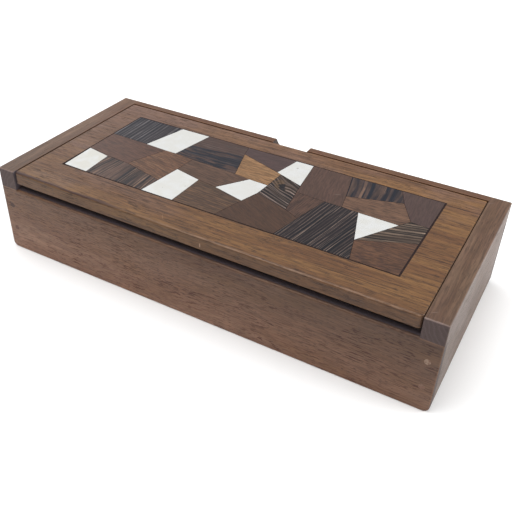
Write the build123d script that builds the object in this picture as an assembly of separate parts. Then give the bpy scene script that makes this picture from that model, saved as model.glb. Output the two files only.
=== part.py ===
"""Inlaid wooden box: a lid between two end boards, turning on hidden pins, with a tile inlay.

Origin: middle of the box's underside. +X runs along the length, +Y to the back, +Z up.
All sizes are in millimetres.
"""
import os

from build123d import *

# ---- outside of the box -------------------------------------------------------------
LENGTH = 250.0
DEPTH = 112.0
HEIGHT = 51.5
END_BOARD_THICKNESS = 10.8
WALL_THICKNESS = 5.0
TIP_HEIGHT = 11.2            # end board tips that run over the front and back walls
FOOT_ROUNDING = 3.0          # long rounding under each end of the box
EDGE_ROUNDING = 0.7          # hand-sanded arris
WALL_TOP_ROUNDING = 1.2      # softer arris on top of the front wall, where fingers rub

# ---- bottom panel --------------------------------------------------------------------
PANEL_THICKNESS = 4.0
PANEL_UNDERSIDE = 3.0
GROOVE_DEPTH = 2.5
GROOVE_PLAY = 0.3            # room for the panel to swell, at each groove's end

# ---- lid ------------------------------------------------------------------------------
LID_THICKNESS = 6.8
LID_SIDE_GAP = 0.25
LID_BACK_GAP = 0.6
LID_FRONT_SETBACK = 0.3
LID_BACK_ROUNDING = 1.0
LID_FRONT_ROUNDING = 1.2
LID_CORNER_ROUNDING = 2.2    # upright front corners of the lid

# ---- thumb notch in the back wall -----------------------------------------------------
NOTCH_RADIUS = 12.1
NOTCH_CENTRE_ABOVE_TOP = 4.4
NOTCH_CENTRE_X = -1.3
NOTCH_MOUTH_ROUNDING = 1.0

# ---- hinge pins -----------------------------------------------------------------------
PIN_RADIUS = 1.25
PIN_RUNNING_CLEARANCE = 0.05
PIN_TO_LID_BACK = 12.0
PIN_DEPTH_IN_END_BOARD = 6.0
PIN_DEPTH_IN_LID = 8.0
PIN_END_ROOM = 0.5           # air beyond the pin's end in the lid's hole

# ---- lid rests and pegs ---------------------------------------------------------------
REST_WIDTH = 5.0
REST_LENGTH = 26.0
REST_HEIGHT = 9.0
REST_ROUNDING = 1.0
REST_PLAY = 0.05             # under the closed lid
PEG_RADIUS = 1.5
PEG_LENGTH = 18.0
PEG_FROM_BOX_END = 5.4
PEG_HEIGHTS = (14.0, 29.0)

# ---- inlay ----------------------------------------------------------------------------
RECESS_DEPTH = 3.0
GROUND_THICKNESS = 0.5       # glue bed under the tiles
LINE_WIDTH = 0.22            # dark line between two tiles
BORDER_LEFT = 0.5            # dark line between the tiles and the lid board, on each side
BORDER_RIGHT = 0.9
BORDER_FRONT = 0.7
BORDER_BACK = 0.5
LINE_SUNK = 0.06             # the glue line lies a hair below the tiles

# ---- helpers for cutting and finding -----------------------------------------------------
SAME_PLACE = 0.01            # two places closer than this are the same
CUT_MARGIN = 1.0             # cutting bodies run this far beyond the wood

HALF_LENGTH = LENGTH / 2
HALF_DEPTH = DEPTH / 2
END_BOARD_FACE = HALF_LENGTH - END_BOARD_THICKNESS
WALL_FACE = HALF_DEPTH - WALL_THICKNESS
TIP_UNDERSIDE = HEIGHT - TIP_HEIGHT
LID_UNDERSIDE = HEIGHT - LID_THICKNESS
LID_HALF_LENGTH = END_BOARD_FACE - LID_SIDE_GAP
LID_BACK = WALL_FACE - LID_BACK_GAP
LID_FRONT = -HALF_DEPTH + LID_FRONT_SETBACK
PIN_Y = LID_BACK - PIN_TO_LID_BACK
PIN_Z = HEIGHT - LID_THICKNESS / 2
INLAY_FLOOR = HEIGHT - RECESS_DEPTH

# Corners of the hand-cut tiles on the lid's top, from the left end to the right.
CORNERS = {
    "front_left": (-98.0, -34.5),
    "back_left": (-98.0, 36.5),
    "left_1": (-98.0, -11.5),
    "left_2": (-98.0, 9.6),
    "a1": (-83.0, -14.5),
    "a2": (-73.3, 9.0),
    "a3": (-68.5, -15.2),
    "front_1": (-81.8, -34.5),
    "back_1": (-66.4, 36.5),
    "b1": (-59.5, 8.2),
    "b2": (-52.4, 8.2),
    "b3": (-43.2, -21.4),
    "b4": (-41.3, -6.3),
    "b5": (-40.3, 7.3),
    "front_2": (-44.8, -34.5),
    "back_2": (-47.5, 36.5),
    "c1": (-25.0, -10.0),
    "c2": (-18.5, 28.3),
    "c3": (-13.5, -11.8),
    "c4": (-11.8, 6.0),
    "front_3": (-25.5, -34.5),
    "back_3": (-20.5, 36.5),
    "d1": (-2.2, 4.7),
    "d2": (5.0, -16.5),
    "d3": (7.0, 19.5),
    "d4": (9.1, 4.3),
    "d5": (8.4, -5.3),
    "d6": (9.8, 18.4),
    "front_4": (0.0, -34.5),
    "back_4": (10.5, 36.5),
    "e1": (24.2, 12.9),
    "e2": (25.3, 6.1),
    "e3": (28.2, -12.2),
    "e4": (36.8, -16.3),
    "e5": (41.6, 5.2),
    "front_5": (32.9, -34.5),
    "back_5": (21.0, 36.5),
    "f1": (49.1, 15.9),
    "f2": (51.3, 5.0),
    "f3": (60.5, 4.5),
    "f4": (68.0, -19.0),
    "back_6": (44.2, 36.5),
    "front_6": (72.0, -34.5),
    "g1": (77.5, 25.0),
    "g2": (82.0, 4.0),
    "g3": (86.0, 10.0),
    "back_7": (72.5, 36.5),
    "right_1": (95.5, 9.2),
    "right_2": (95.5, -6.3),
    "back_right": (95.5, 36.5),
    "front_right": (95.5, -34.5),
    "bone_front": (-97.2, -34.1),
    "bone_side": (-97.7, -11.8),
}

# Each tile by the corners it is cut to, in order round its edge.
TILES = {
    "bone_front_left": "bone_front bone_side a1 front_1",
    "bone_back_left": "back_1 back_2 b2 b1 a2",
    "bone_left_middle": "b4 c1 front_3 front_2 b3",
    "bone_centre": "c3 d1 d4 d5 d2",
    "bone_back_middle": "back_4 back_5 e1 d6 d3",
    "bone_right": "f3 g2 f4",
    "dark_striped_back_left": "back_left back_1 a2 left_2",
    "dark_striped_front_left": "a1 a3 b3 front_2 front_1",
    "dark_wavy_back": "back_2 back_3 c2 c4 b5 b2",
    "dark_striped_centre": "d6 e1 e2 e3 d5 d4",
    "dark_striped_front": "e5 f2 f3 f4 front_6 front_5 e4",
    "dark_striped_back_right": "back_6 back_7 g1 f1",
    "dark_fanned_right": "g3 right_1 right_2 f4 g2",
    "brown_left": "left_2 left_1 a1 a3 b1 a2",
    "brown_middle": "b5 b4 c1 c3 d1 c4",
    "brown_front": "c1 front_3 front_4 d2 c3",
    "brown_speckled_front": "d2 d5 e3 e4 front_5 front_4",
    "redbrown_left": "a3 b1 b2 b5 b4 b3",
    "redbrown_centre": "e2 e5 e4 e3",
    "redbrown_front_right": "f4 right_2 front_right front_6",
    "mahogany_back": "back_5 back_6 f1 f2 e5 e2 e1",
    "yellow_centre": "c2 d3 d6 d4 d1 c4",
    "purple_back": "back_3 c2 d3 back_4",
    "purple_back_right": "back_7 back_right right_1 g3 g1",
    "orange_right": "f1 g1 g3 g2 f3 f2",
}


def block(low, high):
    """A box from its lowest corner to its highest."""
    size = [high[i] - low[i] for i in range(3)]
    return Pos(*low) * Box(*size, align=(Align.MIN, Align.MIN, Align.MIN))


def edges_at(solid, axis, **where):
    """Edges along an axis whose middle lies at every place named in where, as x=, y= or z=."""
    found = solid.edges().filter_by(axis)
    for name, place in where.items():
        key = name.upper()
        found = [edge for edge in found if abs(getattr(edge.center(), key) - place) < SAME_PLACE]
    return found


def rod_along_x(radius, x_start, x_end, y, z):
    """A round rod between two places on X."""
    return Pos((x_start + x_end) / 2, y, z) * Rot(0, 90, 0) * Cylinder(radius, x_end - x_start)


def rod_along_y(radius, y_start, y_end, x, z):
    """A round rod between two places on Y."""
    return Pos(x, (y_start + y_end) / 2, z) * Rot(90, 0, 0) * Cylinder(radius, y_end - y_start)


def flat_plate(outline, z_low, z_high):
    """A plate of a flat outline between two heights."""
    return Pos(0, 0, z_low) * extrude(outline, z_high - z_low)


def panel_groove():
    """The space that the bottom panel's groove takes out of all four walls."""
    reach_x = END_BOARD_FACE + GROOVE_DEPTH
    reach_y = WALL_FACE + GROOVE_DEPTH
    top = PANEL_UNDERSIDE + PANEL_THICKNESS
    return block((-reach_x, -reach_y, PANEL_UNDERSIDE), (reach_x, reach_y, top))


def all_pegs(side):
    """Four pegs through the front wall (side -1) or the back wall (side 1)."""
    pegs = []
    outer = side * HALF_DEPTH
    inner = side * (HALF_DEPTH - PEG_LENGTH)
    for end in (-1, 1):
        for height in PEG_HEIGHTS:
            x = end * (HALF_LENGTH - PEG_FROM_BOX_END)
            pegs.append(rod_along_y(PEG_RADIUS, min(outer, inner), max(outer, inner), x, height))
    return pegs


def hinge_pin(end):
    """The hidden steel pin between an end board (-1 left, 1 right) and the lid."""
    outer = end * (END_BOARD_FACE + PIN_DEPTH_IN_END_BOARD)
    inner = end * (LID_HALF_LENGTH - PIN_DEPTH_IN_LID)
    return rod_along_x(PIN_RADIUS, min(outer, inner), max(outer, inner), PIN_Y, PIN_Z)


def end_board(end):
    """An end board with its two tips, its panel groove and its peg and pin holes."""
    inner = end * END_BOARD_FACE
    outer = end * HALF_LENGTH
    x_low, x_high = min(inner, outer), max(inner, outer)
    board = block((x_low, -WALL_FACE, 0), (x_high, WALL_FACE, HEIGHT))
    board += block((x_low, -HALF_DEPTH, TIP_UNDERSIDE), (x_high, HALF_DEPTH, HEIGHT))
    board = fillet(edges_at(board, Axis.Y, x=outer, z=0), FOOT_ROUNDING)
    sanded = edges_at(board, Axis.Y, x=outer, z=HEIGHT)
    for side in (-1, 1):
        sanded += edges_at(board, Axis.X, y=side * HALF_DEPTH, z=HEIGHT)
        sanded += edges_at(board, Axis.Z, x=outer, y=side * HALF_DEPTH)
    board = fillet(sanded, EDGE_ROUNDING)
    board -= panel_groove()
    for peg in all_pegs(-1) + all_pegs(1):
        board -= peg
    board -= hinge_pin(end)
    return board


def wall_below_tips(side):
    """The full-width part of the front wall (side -1) or the back wall (side 1)."""
    outer = side * HALF_DEPTH
    inner = side * WALL_FACE
    y_low, y_high = min(outer, inner), max(outer, inner)
    board = block((-HALF_LENGTH, y_low, 0), (HALF_LENGTH, y_high, TIP_UNDERSIDE))
    feet = []
    for end in (-1, 1):
        feet += edges_at(board, Axis.Y, x=end * HALF_LENGTH, z=0)
    board = fillet(feet, FOOT_ROUNDING)
    sanded = []
    for end in (-1, 1):
        sanded += edges_at(board, Axis.Z, x=end * HALF_LENGTH, y=outer)
    board = fillet(sanded, EDGE_ROUNDING)
    board -= panel_groove()
    for peg in all_pegs(side):
        board -= peg
    return board


def front_wall():
    """The low front wall, its top arris rubbed round between the two tips."""
    board = wall_below_tips(-1)
    outer = -HALF_DEPTH
    cut = WALL_TOP_ROUNDING
    corner = block(
        (-END_BOARD_FACE, outer, TIP_UNDERSIDE - cut), (END_BOARD_FACE, outer + cut, TIP_UNDERSIDE)
    )
    corner -= rod_along_x(cut, -END_BOARD_FACE, END_BOARD_FACE, outer + cut, TIP_UNDERSIDE - cut)
    return board - corner


def back_wall():
    """The back wall, as high as the lid between the tips, with the thumb notch."""
    middle = (TIP_UNDERSIDE + HEIGHT) / 2
    outline = Pos(0, middle) * Rectangle(2 * END_BOARD_FACE, TIP_HEIGHT)
    outline -= Pos(NOTCH_CENTRE_X, HEIGHT + NOTCH_CENTRE_ABOVE_TOP) * Circle(NOTCH_RADIUS)
    mouth = [v for v in outline.vertices() if v.Y > HEIGHT - SAME_PLACE and abs(v.X) < 2 * NOTCH_RADIUS]
    outline = fillet(mouth, NOTCH_MOUTH_ROUNDING)
    standing = Plane(origin=(0, HALF_DEPTH, 0), x_dir=(1, 0, 0), z_dir=(0, -1, 0))
    notched = extrude(standing * outline, WALL_THICKNESS)
    upper = block((-END_BOARD_FACE, WALL_FACE, TIP_UNDERSIDE), (END_BOARD_FACE, HALF_DEPTH, HEIGHT))
    upper = fillet(edges_at(upper, Axis.X, y=HALF_DEPTH, z=HEIGHT), EDGE_ROUNDING)
    return wall_below_tips(1) + (upper & notched)


def bottom_panel():
    """The loose panel in the grooves."""
    reach_x = END_BOARD_FACE + GROOVE_DEPTH - GROOVE_PLAY
    reach_y = WALL_FACE + GROOVE_DEPTH - GROOVE_PLAY
    top = PANEL_UNDERSIDE + PANEL_THICKNESS
    return block((-reach_x, -reach_y, PANEL_UNDERSIDE), (reach_x, reach_y, top))


def lid_rest(end):
    """A cleat inside an end board that the closed lid comes down on, near the front."""
    inner = end * (END_BOARD_FACE - REST_WIDTH)
    outer = end * END_BOARD_FACE
    x_low, x_high = min(inner, outer), max(inner, outer)
    top = LID_UNDERSIDE - REST_PLAY
    cleat = block((x_low, -WALL_FACE, top - REST_HEIGHT), (x_high, -WALL_FACE + REST_LENGTH, top))
    lower_edge = edges_at(cleat, Axis.Y, x=inner, z=top - REST_HEIGHT)
    back_edge = edges_at(cleat, Axis.Z, x=inner, y=-WALL_FACE + REST_LENGTH)
    return fillet(lower_edge + back_edge, REST_ROUNDING)


def whole_tile(name):
    """One tile's outline up to the middle of the glue lines."""
    points = [CORNERS[corner] for corner in TILES[name].split()]
    return make_face(Polyline(points, close=True))


def tile_outline(name):
    """One tile's outline, drawn in by half a glue line all round."""
    return offset(whole_tile(name), -LINE_WIDTH / 2, kind=Kind.INTERSECTION)


def recess_outline():
    """The outline of the recess: the field of tiles with its dark border, uneven as cut by hand."""
    left, front = CORNERS["front_left"]
    right, back = CORNERS["back_right"]
    left, right = left - BORDER_LEFT, right + BORDER_RIGHT
    front, back = front - BORDER_FRONT, back + BORDER_BACK
    return Pos((left + right) / 2, (front + back) / 2) * Rectangle(right - left, back - front)


def lid_board():
    """The lid board with its recess and the two holes it turns on."""
    board = block((-LID_HALF_LENGTH, LID_FRONT, LID_UNDERSIDE), (LID_HALF_LENGTH, LID_BACK, HEIGHT))
    corners = []
    for end in (-1, 1):
        corners += edges_at(board, Axis.Z, x=end * LID_HALF_LENGTH, y=LID_FRONT)
    board = fillet(corners, LID_CORNER_ROUNDING)
    board = fillet(edges_at(board, Axis.X, y=LID_FRONT, z=HEIGHT), LID_FRONT_ROUNDING)
    board = fillet(edges_at(board, Axis.X, y=LID_BACK, z=HEIGHT), LID_BACK_ROUNDING)
    board -= flat_plate(recess_outline(), INLAY_FLOOR, HEIGHT + CUT_MARGIN)
    for end in (-1, 1):
        mouth = end * (LID_HALF_LENGTH + CUT_MARGIN)
        floor = end * (LID_HALF_LENGTH - PIN_DEPTH_IN_LID - PIN_END_ROOM)
        radius = PIN_RADIUS + PIN_RUNNING_CLEARANCE
        board -= rod_along_x(radius, min(mouth, floor), max(mouth, floor), PIN_Y, PIN_Z)
    return board


def inlay_tile(name):
    """One tile standing on the glue bed, flush with the lid's top."""
    return flat_plate(tile_outline(name), INLAY_FLOOR + GROUND_THICKNESS, HEIGHT)


def inlay_ground():
    """The dark glue bed with the lines that stand up between the tiles."""
    ground = flat_plate(recess_outline(), INLAY_FLOOR, HEIGHT - LINE_SUNK)
    for name in TILES:
        ground -= flat_plate(tile_outline(name), INLAY_FLOOR + GROUND_THICKNESS, HEIGHT)
    return ground


def as_group(solids):
    """Several equal solids under one name."""
    return Compound(children=list(solids))


def main():
    pieces = {
        "front_wall": front_wall(),
        "back_wall": back_wall(),
        "left_end_board": end_board(-1),
        "right_end_board": end_board(1),
        "bottom_panel": bottom_panel(),
        "lid_rest_left": lid_rest(-1),
        "lid_rest_right": lid_rest(1),
        "front_pegs": as_group(all_pegs(-1)),
        "back_pegs": as_group(all_pegs(1)),
        "hinge_pin_left": hinge_pin(-1),
        "hinge_pin_right": hinge_pin(1),
        "lid_board": lid_board(),
        "inlay_ground": inlay_ground(),
    }
    for name in TILES:
        pieces["tile_" + name] = inlay_tile(name)

    left, front = CORNERS["front_left"]
    right, back = CORNERS["back_right"]
    used = sum(whole_tile(name).area for name in TILES)
    print(f"field {(right - left) * (back - front):.1f} mm2, tiles {used:.1f} mm2")

    os.makedirs("parts", exist_ok=True)
    for name, solid in pieces.items():
        export_step(solid, f"parts/{name}.step")
        print(f"{name:32s} {solid.volume:10.1f} mm3, {len(solid.solids())} solid(s)")


main()
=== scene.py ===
# %% [markdown]
# # An inlaid wooden box
# This lesson dresses a small wooden box in Blender. The box is 250 mm long. A lid lies flush between
# two thick end boards and turns on hidden pins near its back edge. Twenty-five tiles of bone and of
# many woods are let into the lid.
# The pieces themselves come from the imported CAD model, in metres, with +X along the box, +Y to the
# back and +Z up. They are already the right shape, so the work here is in their finish.

# %% Open the box
import math

import bpy
from mathutils import Matrix, Vector


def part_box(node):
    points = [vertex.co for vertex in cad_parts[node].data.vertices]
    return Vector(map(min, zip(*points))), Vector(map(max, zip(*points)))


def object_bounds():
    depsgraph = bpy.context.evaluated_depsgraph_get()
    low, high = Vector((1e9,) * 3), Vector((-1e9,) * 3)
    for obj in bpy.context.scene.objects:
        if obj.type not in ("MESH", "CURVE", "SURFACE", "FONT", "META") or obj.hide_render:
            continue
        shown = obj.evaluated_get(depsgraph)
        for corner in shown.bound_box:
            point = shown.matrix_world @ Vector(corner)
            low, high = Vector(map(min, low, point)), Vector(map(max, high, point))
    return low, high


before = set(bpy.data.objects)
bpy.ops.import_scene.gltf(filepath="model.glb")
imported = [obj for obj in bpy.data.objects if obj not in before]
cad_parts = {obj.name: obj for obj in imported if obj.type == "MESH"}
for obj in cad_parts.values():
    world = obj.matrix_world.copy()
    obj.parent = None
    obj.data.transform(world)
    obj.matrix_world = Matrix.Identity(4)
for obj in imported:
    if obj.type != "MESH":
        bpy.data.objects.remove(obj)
cad_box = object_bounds()
MM = 0.001
print("one millimetre is", MM, "in the scene")

# %% [markdown]
# ## Small tools for wiring nodes
# A finish in Blender is a web of nodes. A few short helpers keep the wiring readable: one places a
# node and fills its inputs, two do arithmetic with numbers and with places, and one mixes two
# colours. An input takes either a plain value or the output of another node.

# %% Helpers that place and wire nodes
def place(tree, kind, values=None, **settings):
    """Adds a node, sets its options, and fills its inputs by name or number."""
    node = tree.nodes.new(kind)
    for name, setting in settings.items():
        setattr(node, name, setting)
    for key, value in (values or {}).items():
        fill(tree, node.inputs[key], value)
    return node


def fill(tree, socket, value):
    """Links an output to the socket, or sets the socket's own value."""
    if isinstance(value, bpy.types.NodeSocket):
        tree.links.new(value, socket)
    elif value is not None:
        socket.default_value = value


print("helpers: place, fill")

# %% [markdown]
# Arithmetic comes in two kinds, since Blender has one node for numbers and another for places and
# directions. Colours are mixed by a share, and a soft step turns a pattern into a mask.

# %% Helpers for numbers, places and colours
GIVES_A_NUMBER = ("DOT_PRODUCT", "LENGTH", "DISTANCE")


def sum_up(tree, operation, first, second=None, third=None, clamp=False):
    """One step of arithmetic; gives the output socket."""
    values = {i: v for i, v in enumerate((first, second, third)) if v is not None}
    return place(tree, "ShaderNodeMath", values, operation=operation, use_clamp=clamp).outputs[0]


def sum_arrows(tree, operation, first, second=None):
    """One step of arithmetic with places or directions; gives the output socket."""
    values = {0: first, "Scale" if operation == "SCALE" else 1: second}
    node = place(tree, "ShaderNodeVectorMath", values, operation=operation)
    return node.outputs["Value" if operation in GIVES_A_NUMBER else "Vector"]


def split(tree, arrow):
    """The X, Y and Z of a place or direction."""
    return place(tree, "ShaderNodeSeparateXYZ", {0: arrow}).outputs


def blend_colours(tree, share, under, over, way="MIX"):
    """Lays the second colour over the first by a share from 0 to 1."""
    node = place(tree, "ShaderNodeMix", data_type="RGBA", blend_type=way)
    fill(tree, node.inputs[0], share)
    fill(tree, node.inputs[6], under)
    fill(tree, node.inputs[7], over)
    return node.outputs[2]


def spread(tree, value, low, high, to_low=0.0, to_high=1.0):
    """Maps a value softly from one range to another and stops at its ends."""
    values = {0: value, 1: low, 2: high, 3: to_low, 4: to_high}
    node = place(tree, "ShaderNodeMapRange", values, interpolation_type="SMOOTHSTEP")
    return node.outputs[0]


print("helpers: sum_up, sum_arrows, split, blend_colours, spread")

# %% [markdown]
# ## Effects that several finishes share
# Grain, pores, stripes, end grain, worn edges and handling marks appear on many pieces. Each is made
# once as a node group with named inputs and outputs. A material then places the group and gives it
# its own values, so every wood differs but behaves in the same way.

# %% A helper that opens a new group
NUMBER, ARROW = "NodeSocketFloat", "NodeSocketVector"


def new_group(name, inputs, outputs):
    """A node group with named sockets; inputs maps a name to its kind and usual value."""
    tree = bpy.data.node_groups.new(name, "ShaderNodeTree")
    for label, (kind, value) in inputs.items():
        socket = tree.interface.new_socket(label, in_out="INPUT", socket_type=kind)
        socket.default_value = value
    for label, kind in outputs.items():
        tree.interface.new_socket(label, in_out="OUTPUT", socket_type=kind)
    return tree, tree.nodes.new("NodeGroupInput").outputs, tree.nodes.new("NodeGroupOutput").inputs


def use_group(tree, group, values):
    """Places a group in a material and fills its inputs by name."""
    return place(tree, "ShaderNodeGroup", values, node_tree=group).outputs


print("helpers: new_group, use_group")

# %% [markdown]
# ### Grain space
# A board's pattern follows its fibres. This group turns a place on the piece, in metres, into a place
# in the plank it was sawn from, in millimetres, with X along the fibres. A slow wander bends the
# fibres a little, as a tree does. Fan spreads them apart along their length.

# %% The Grain Space group
ORIGIN = (0.0, 0.0, 0.0)
MIDDLE_GREY = (0.5, 0.5, 0.5)
grain_space, gives, takes = new_group(
    "Grain Space",
    {
        "Place": (ARROW, ORIGIN), "Middle": (ARROW, ORIGIN), "Turn": (NUMBER, 0.0),
        "Plank": (ARROW, ORIGIN), "Wander": (NUMBER, 1.0), "Wander Length": (NUMBER, 90.0),
        "Fan": (NUMBER, 0.0),
    },
    {"Grain": ARROW},
)
tree = grain_space
in_mm = sum_arrows(tree, "SCALE", gives["Place"], 1.0 / MM)
angle = sum_up(tree, "RADIANS", gives["Turn"])
turned = place(
    tree, "ShaderNodeVectorRotate", {"Vector": in_mm, "Center": gives["Middle"], "Angle": angle},
    rotation_type="Z_AXIS", invert=True)
x, y, z = split(tree, sum_arrows(tree, "SUBTRACT", turned.outputs[0], gives["Middle"]))
fanned = sum_up(tree, "MULTIPLY_ADD", x, gives["Fan"], 1.0)
across = sum_up(tree, "MULTIPLY", y, fanned)
straight = place(tree, "ShaderNodeCombineXYZ", {0: x, 1: across, 2: z})
in_plank = sum_arrows(tree, "ADD", straight.outputs[0], gives["Plank"])
slow = sum_up(tree, "DIVIDE", 1.0, gives["Wander Length"])
drift = sum_arrows(tree, "SCALE", in_plank, slow)
bend = place(tree, "ShaderNodeTexNoise", {"Vector": drift, "Scale": 1.0, "Detail": 1.0})
centred = sum_arrows(tree, "SUBTRACT", bend.outputs["Color"], MIDDLE_GREY)
amount = sum_arrows(tree, "SCALE", centred, gives["Wander"])
fill(tree, takes["Grain"], sum_arrows(tree, "ADD", in_plank, amount))
print("group:", grain_space.name)

# %% [markdown]
# ### Streaks
# Streaks are long soft marks along the fibres. The same noise pattern gives fine fibres when its
# marks are narrow and broad figure when they are wide. Low and High say how hard the edges are.
# A helper squeezes grain space first, and the groups after this one need it too.

# %% The Streaks group
def stretch(tree, grain, length, width):
    """Squeezes grain space so that round marks come out long and narrow."""
    along = sum_up(tree, "DIVIDE", 1.0, length)
    sideways = sum_up(tree, "DIVIDE", 1.0, width)
    scale = place(tree, "ShaderNodeCombineXYZ", {0: along, 1: sideways, 2: sideways})
    return sum_arrows(tree, "MULTIPLY", grain, scale.outputs[0])


streaks, gives, takes = new_group(
    "Streaks",
    {
        "Grain": (ARROW, ORIGIN), "Length": (NUMBER, 60.0), "Width": (NUMBER, 1.0),
        "Low": (NUMBER, 0.3), "High": (NUMBER, 0.7),
    },
    {"Streak": NUMBER},
)
tree = streaks
squeezed = stretch(tree, gives["Grain"], gives["Length"], gives["Width"])
noise = place(
    tree, "ShaderNodeTexNoise", {"Vector": squeezed, "Scale": 1.0, "Detail": 3.0, "Roughness": 0.6})
fill(tree, takes["Streak"], spread(tree, noise.outputs["Fac"], gives["Low"], gives["High"]))
print("group:", streaks.name)

# %% [markdown]
# ### Pores
# Open-pored woods show short dark ticks where the cutter opened the tree's vessels. Each tick is a
# long thin cell. Only a share of the cells is kept, so that the ticks lie scattered.

# %% The Pores group
pores, gives, takes = new_group(
    "Pores",
    {
        "Grain": (ARROW, ORIGIN), "Length": (NUMBER, 5.0), "Width": (NUMBER, 0.8),
        "Size": (NUMBER, 0.3), "Share": (NUMBER, 0.4),
    },
    {"Pore": NUMBER},
)
tree = pores
squeezed = stretch(tree, gives["Grain"], gives["Length"], gives["Width"])
cells = place(tree, "ShaderNodeTexVoronoi", {"Vector": squeezed, "Scale": 1.0}, feature="F1")
half = sum_up(tree, "MULTIPLY", gives["Size"], 0.45)
tick = spread(tree, cells.outputs["Distance"], half, gives["Size"], 1.0, 0.0)
chance = place(tree, "ShaderNodeSeparateColor", {0: cells.outputs["Color"]})
kept = sum_up(tree, "LESS_THAN", chance.outputs[0], gives["Share"])
fill(tree, takes["Pore"], sum_up(tree, "MULTIPLY", tick, kept))
print("group:", pores.name)

# %% [markdown]
# ### Light lines
# Palm and zebra-like woods carry pale lines at nearly even distances. Each line here has its own
# strength, from a dice thrown once per line, and fades in and out along its length.

# %% The Light Lines group
light_lines, gives, takes = new_group(
    "Light Lines",
    {
        "Grain": (ARROW, ORIGIN), "Spacing": (NUMBER, 2.0), "Thickness": (NUMBER, 0.4),
        "Wobble": (NUMBER, 1.0), "Length": (NUMBER, 60.0),
    },
    {"Line": NUMBER},
)
tree = light_lines
sideways = split(tree, gives["Grain"])[1]
wide = sum_up(tree, "MULTIPLY", gives["Spacing"], 4.0)
drift = place(
    tree, "ShaderNodeTexNoise",
    {"Vector": stretch(tree, gives["Grain"], gives["Length"], wide), "Scale": 1.0, "Detail": 2.0})
moved = sum_up(tree, "MULTIPLY", drift.outputs["Fac"], gives["Wobble"])
steps = sum_up(tree, "ADD", sum_up(tree, "DIVIDE", sideways, gives["Spacing"]), moved)
from_centre = sum_up(tree, "ABSOLUTE", sum_up(tree, "SUBTRACT", sum_up(tree, "FRACT", steps), 0.5))
half = sum_up(tree, "MULTIPLY", gives["Thickness"], 0.5)
line = spread(tree, from_centre, sum_up(tree, "MULTIPLY", half, 0.55), half, 1.0, 0.0)
number = sum_up(tree, "FLOOR", steps)
dice = place(tree, "ShaderNodeTexWhiteNoise", {"W": number}, noise_dimensions="1D")
along = place(
    tree, "ShaderNodeTexNoise",
    {"Vector": stretch(tree, gives["Grain"], 14.0, gives["Spacing"]), "Scale": 1.0, "Detail": 2.0})
own = spread(tree, dice.outputs["Value"], 0.0, 1.0, 0.3, 1.0)
fading = spread(tree, along.outputs["Fac"], 0.3, 0.6, 0.35, 1.0)
fill(tree, takes["Line"], sum_up(tree, "MULTIPLY", line, sum_up(tree, "MULTIPLY", own, fading)))
print("group:", light_lines.name)

# %% [markdown]
# ### Growth rings
# A tree adds a ring each year, pale at first and dark at its end. Measured from the pith, the rings
# give lines on the long faces of a board and arcs on its end grain.

# %% The Growth Rings group
growth_rings, gives, takes = new_group(
    "Growth Rings",
    {
        "Grain": (ARROW, ORIGIN), "Pith": (ARROW, (0.0, 0.0, -200.0)), "Spacing": (NUMBER, 3.0),
        "Unevenness": (NUMBER, 1.0),
    },
    {"Late Wood": NUMBER},
)
tree = growth_rings
x, y, z = split(tree, sum_arrows(tree, "SUBTRACT", gives["Grain"], gives["Pith"]))
flat = place(tree, "ShaderNodeCombineXYZ", {1: y, 2: z})
radius = sum_arrows(tree, "LENGTH", flat.outputs[0])
uneven = place(
    tree, "ShaderNodeTexNoise",
    {"Vector": stretch(tree, gives["Grain"], 120.0, 9.0), "Scale": 1.0, "Detail": 2.0})
shift = sum_up(tree, "MULTIPLY", uneven.outputs["Fac"], gives["Unevenness"])
years = sum_up(tree, "ADD", sum_up(tree, "DIVIDE", radius, gives["Spacing"]), shift)
year = sum_up(tree, "FRACT", years)
rise = spread(tree, year, 0.35, 0.9)
fall = spread(tree, year, 0.9, 1.0, 1.0, 0.0)
fill(tree, takes["Late Wood"], sum_up(tree, "MULTIPLY", rise, fall))
print("group:", growth_rings.name)

# %% [markdown]
# ### End grain
# Where fibres are cut across, oil soaks in and the wood turns darker and duller. The group compares
# the way the surface faces with the way the fibres run.

# %% The End Grain group
end_grain, gives, takes = new_group(
    "End Grain", {"Facing": (ARROW, (0.0, 0.0, 1.0)), "Turn": (NUMBER, 0.0)}, {"Across Fibres": NUMBER}
)
tree = end_grain
angle = sum_up(tree, "RADIANS", gives["Turn"])
fibre = place(
    tree, "ShaderNodeCombineXYZ",
    {0: sum_up(tree, "COSINE", angle), 1: sum_up(tree, "SINE", angle), 2: 0.0})
lined_up = sum_arrows(tree, "DOT_PRODUCT", gives["Facing"], fibre.outputs[0])
fill(tree, takes["Across Fibres"], spread(tree, sum_up(tree, "ABSOLUTE", lined_up), 0.55, 0.9))
print("group:", end_grain.name)

# %% [markdown]
# ### Worn and highlit edges
# Hands rub the finish off a box's arrises first, and the same pale band is also a painted highlight
# along them. On a board the distance to the nearest edge is the middle one of its three distances to
# the sides of its own box. A little noise breaks the band up.

# %% The Worn And Highlit Edges group
worn_edges, gives, takes = new_group(
    "Worn Edges",
    {
        "Place": (ARROW, ORIGIN), "Low Corner": (ARROW, ORIGIN), "High Corner": (ARROW, ORIGIN),
        "Reach": (NUMBER, 1.5),
    },
    {"Wear": NUMBER},
)
tree = worn_edges
above = sum_arrows(tree, "SUBTRACT", gives["Place"], gives["Low Corner"])
below = sum_arrows(tree, "SUBTRACT", gives["High Corner"], gives["Place"])
x, y, z = split(tree, sum_arrows(tree, "MINIMUM", above, below))
least = sum_up(tree, "MINIMUM", sum_up(tree, "MINIMUM", x, y), z)
most = sum_up(tree, "MAXIMUM", sum_up(tree, "MAXIMUM", x, y), z)
total = sum_up(tree, "ADD", sum_up(tree, "ADD", x, y), z)
middle = sum_up(tree, "SUBTRACT", sum_up(tree, "SUBTRACT", total, least), most)
edge_in_mm = sum_up(tree, "MULTIPLY", middle, 1.0 / MM)
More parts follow.
